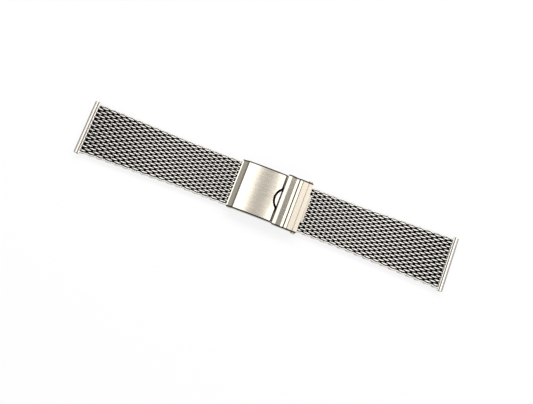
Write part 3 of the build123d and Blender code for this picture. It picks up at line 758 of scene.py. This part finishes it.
class BAND_OT_finish_clasp(bpy.types.Operator):
    """Give the clasp, its pins and the lug tubes their steel"""

    bl_idname = "band.finish_clasp"
    bl_label = "Finish Clasp"

    def execute(self, context):
        steel = context.scene.band_steel
        plain = steel.inner_colour
        inner = BrushedSteel("stamped_inner_steel", plain, scratch=0.3, rough=(0.28, 0.45)).done()
        turned = BrushedSteel("turned_pin_steel", plain, scratch=0.2, rough=(0.2, 0.35), along="Y").done()
        tube = self.polish_tube(steel)
        boss, blade = self.finish_boss_and_blade(steel)
        finishes = {
            "cover_shell": self.brush_cover(steel), "safety_flap": self.brush_flap(steel),
            "locating_boss": boss, "base_blade": blade, "left_lug_tube": tube, "right_lug_tube": tube,
            "tail_end_cap": tube,
        }
        for name, node in frame["nodes"].items():
            if node.hide_render:
                continue
            finish = finishes.get(name, turned if name.endswith("_pin") else inner)
            node.data.materials.clear()
            node.data.materials.append(finish)
        return {"FINISHED"}

    def brush_cover(self, steel):
        """Cover with a painted highlight, a paler shoulder, on its left, and painted shade beside the flap's
        hump, in a crease and along its edges.
        """
        shoulder_x = COVER_LOW.x + 2.1 * MM
        crease_x = COVER_LOW.x + 2.45 * MM
        gap_x = FLAP_LOW.x - 0.9 * MM
        cover = BrushedSteel("brushed_cover_steel", steel.sheet_colour, scratch=0.11, rough=(0.16, 0.24))
        cover.stroke(strength=1.4)
        # Painted highlight: the left shoulder is paler.
        cover.paint_highlight_before(shoulder_x, fade=0.5 * MM)
        # Painted shade along the cover's long edges and walls.
        cover.paint_edge_shade(COVER_HIGH.y)
        # Painted shade in the gap beside the flap's hump.
        cover.paint_shade_beyond(gap_x, fade=0.25 * MM)
        # Painted shade along the crease.
        cover.paint_shade_line(crease_x, half=0.35 * MM, share=0.5)
        return cover.done()

    def brush_flap(self, steel):
        """Flap with painted shade in its groove, at the foot of its ridge and along its edges, and a coarser
        plate.
        """
        groove_x = FLAP_LOW.x + 4.78 * MM
        plate_x = FLAP_LOW.x + 5.9 * MM
        foot_x = FLAP_LOW.x + 6.2 * MM
        flap = BrushedSteel("brushed_flap_steel", steel.sheet_colour, scratch=0.05, rough=(0.16, 0.24))
        flap.coarsen_beyond(plate_x, fade=0.3 * MM)
        # Painted shade along the flap's long edges and walls.
        flap.paint_edge_shade(FLAP_HIGH.y)
        # Painted shade in the groove and at the foot of the ridge.
        flap.paint_shade_line(groove_x, half=0.3 * MM, share=0.8)
        flap.paint_shade_line(foot_x, half=0.2 * MM, share=0.6)
        return flap.done()

    def finish_boss_and_blade(self, steel):
        """Blasted boss with a painted dark rim of shade, and the blade with painted shade round the boss."""
        low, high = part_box("locating_boss")
        chord = high.y
        depth = high.x - low.x
        radius = (chord * chord + depth * depth) / (2 * depth)
        centre_x = low.x + radius
        boss = BrushedSteel("blasted_boss_steel", BLASTED_STEEL, scratch=0.2, rough=(0.5, 0.6))
        # Painted shade: the boss darkens towards its rim.
        boss.paint_shade_round(centre_x, radius - 0.05 * MM, fade=-0.2 * MM)
        blade = BrushedSteel("tarnished_blade_steel", steel.inner_colour, scratch=0.3, rough=(0.28, 0.45))
        # Painted shade on the blade round the boss.
        blade.paint_shade_round(centre_x, radius + 1.2 * MM, fade=0.5 * MM)
        return boss.done(), blade.done()

    def polish_tube(self, steel):
        """Lug tubes, each with a painted dark reflection line along it and painted shade on its outer side."""
        tube_x = (TUBE_LOW.x + TUBE_HIGH.x) / 2
        tube = BrushedSteel("polished_tube_steel", steel.tube_colour, scratch=0.08, rough=(0.16, 0.26), along="Y")
        # Painted dark reflection line along each tube and painted shade on its outer side, both as dark lines.
        painted_dark_line, painted_outer_shade = (-0.5 * MM, 0.26 * MM), (1.08 * MM, 0.28 * MM)
        for side in (-1, 1):
            for off, half in (painted_dark_line, painted_outer_shade):
                tube.paint_shade_line(side * (tube_x + off), half, share=0.85)
        tube.flatten_tube(tube_x, (TUBE_HIGH.x - TUBE_LOW.x) / 2, share=0.75)
        return tube.done()


class BAND_OT_set_stage(bpy.types.Operator):
    """Lay the paper floor, hang the soft boxes and set the camera"""

    bl_idname = "band.set_stage"
    bl_label = "Set Stage"

    FLOOR_HALF = 3.0
    FLOOR_LEVEL = -0.02 * MM
    PAPER_GLOW = 0.8    # share of plain white in the paper as the camera and the steel see it
    SOFT_BOXES = (      # name, x from, x to, y from, y to, in metres
        ("soft_box_left", -0.26, -0.085, -0.8, 0.8),
        ("soft_box_right", 0.10, 0.36, -0.8, 0.8),
        ("soft_strip_back", -0.8, 0.8, 0.3, 0.6),
    )

    def execute(self, context):
        scene = context.scene
        stage = scene.band_stage
        self.lay_floor(scene, stage)
        self.light_room(scene, stage)
        self.hang_boxes(scene, stage)
        self.set_camera(scene, stage)
        scene.view_settings.view_transform = "Standard"
        return {"FINISHED"}

    def lay_floor(self, scene, stage):
        half, level = self.FLOOR_HALF, self.FLOOR_LEVEL
        mesh = bpy.data.meshes.new("paper_floor")
        corners = [(-half, -half, level), (half, -half, level), (half, half, level), (-half, half, level)]
        mesh.from_pydata(corners, [], [(0, 1, 2, 3)])
        floor = bpy.data.objects.new("paper_floor", mesh)
        scene.collection.objects.link(floor)
        material = bpy.data.materials.new("white_paper")
        material.use_nodes = True
        material.node_tree.nodes.clear()
        bench = Bench(material.node_tree)
        paper = bench.out("ShaderNodeBsdfDiffuse", {}, {"Color": (*stage.floor_colour, 1.0)})
        glow = bench.out("ShaderNodeEmission", {}, {"Color": (1.0, 1.0, 1.0, 1.0), "Strength": 1.0})
        path = bench.node("ShaderNodeLightPath")
        seen, mirrored, through = (
            Value(bench, path.outputs[f"Is {ray} Ray"]) for ray in ("Camera", "Glossy", "Transmission"))
        share = (seen + mirrored + through).math("MINIMUM", 1.0) * self.PAPER_GLOW
        mixed = bench.out("ShaderNodeMixShader", {}, {0: share, 1: paper, 2: glow})
        bench.node("ShaderNodeOutputMaterial", {}, {0: mixed})
        mesh.materials.append(material)

    def light_room(self, scene, stage):
        """Room that is dark at the floor, grey on its walls and bright overhead."""
        world = bpy.data.worlds.new("room")
        scene.world = world
        world.use_nodes = True
        world.node_tree.nodes.clear()
        bench = Bench(world.node_tree)
        up = bench.split(bench.out("ShaderNodeTexCoord"))[2]
        wall = up.ramp(0.12, 0.34)
        overhead = up.ramp(0.55, 0.97)
        level = stage.horizon_level + wall * (stage.wall_level - stage.horizon_level)
        level = level + overhead * (stage.sky_level - stage.wall_level)
        room = bench.out("ShaderNodeBackground", {}, {"Color": (*ROOM_LIGHT, 1.0), "Strength": level})
        bench.node("ShaderNodeOutputWorld", {}, {0: room})

    def hang_boxes(self, scene, stage):
        for name, left, right, front, back in self.SOFT_BOXES:
            lamp = bpy.data.lights.new(name, "AREA")
            lamp.shape = "RECTANGLE"
            lamp.size = right - left
            lamp.size_y = back - front
            level = stage.strip_level if "strip" in name else stage.lamp_level
            lamp.energy = level * math.pi * lamp.size * lamp.size_y
            lamp.color = LAMP_LIGHT
            holder = bpy.data.objects.new(name, lamp)
            holder.location = ((left + right) / 2, (front + back) / 2, stage.lamp_height)
            scene.collection.objects.link(holder)

    def set_camera(self, scene, stage):
        data = bpy.data.cameras.new("studio_camera")
        data.lens = stage.lens
        data.clip_start = 0.01
        camera = bpy.data.objects.new("studio_camera", data)
        scene.collection.objects.link(camera)
        scene.camera = camera
        back = Vector((0.0, -math.sin(stage.tilt), math.cos(stage.tilt)))
        along = Vector((1.0, 0.0, 0.0))
        across = back.cross(along)
        right = math.cos(stage.roll) * along + math.sin(stage.roll) * across
        up = math.cos(stage.roll) * across - math.sin(stage.roll) * along
        pixel = stage.distance * data.sensor_width / (stage.lens * stage.frame_width)
        off_centre = pixel * (stage.centre_x_px * right + stage.centre_y_px * up)
        camera.location = Vector((0.0, 0.0, MESH_HIGH.z)) - off_centre + stage.distance * back
        camera.rotation_mode = "QUATERNION"
        camera.rotation_quaternion = Matrix((right, up, back)).transposed().to_quaternion()


class BAND_PT_tools(bpy.types.Panel):
    """Lists the steps that make the band"""

    bl_label = "Mesh Band"
    bl_idname = "BAND_PT_tools"
    bl_space_type = "VIEW_3D"
    bl_region_type = "UI"
    bl_category = "Mesh Band"

    def draw(self, context):
        for step in STEPS:
            self.layout.operator(step.bl_idname)
        for group in (context.scene.band_weave, context.scene.band_steel, context.scene.band_stage):
            box = self.layout.box()
            for name in group.__annotations__:
                box.prop(group, name)


STEPS = (BAND_OT_weave_strands, BAND_OT_roll_strap_eye, BAND_OT_finish_clasp, BAND_OT_set_stage)
CLASSES = (WeaveSettings, SteelSettings, StageSettings, *STEPS, BAND_PT_tools)


def register():
    for made in CLASSES:
        bpy.utils.register_class(made)
    bpy.types.Scene.band_weave = PointerProperty(type=WeaveSettings)
    bpy.types.Scene.band_steel = PointerProperty(type=SteelSettings)
    bpy.types.Scene.band_stage = PointerProperty(type=StageSettings)


def unregister():
    del bpy.types.Scene.band_stage
    del bpy.types.Scene.band_steel
    del bpy.types.Scene.band_weave
    for made in reversed(CLASSES):
        bpy.utils.unregister_class(made)


def main():
    register()
    bpy.ops.band.weave_strands()
    bpy.ops.band.roll_strap_eye()
    bpy.ops.band.finish_clasp()
    bpy.ops.band.set_stage()


if __name__ == "__main__":
    main()
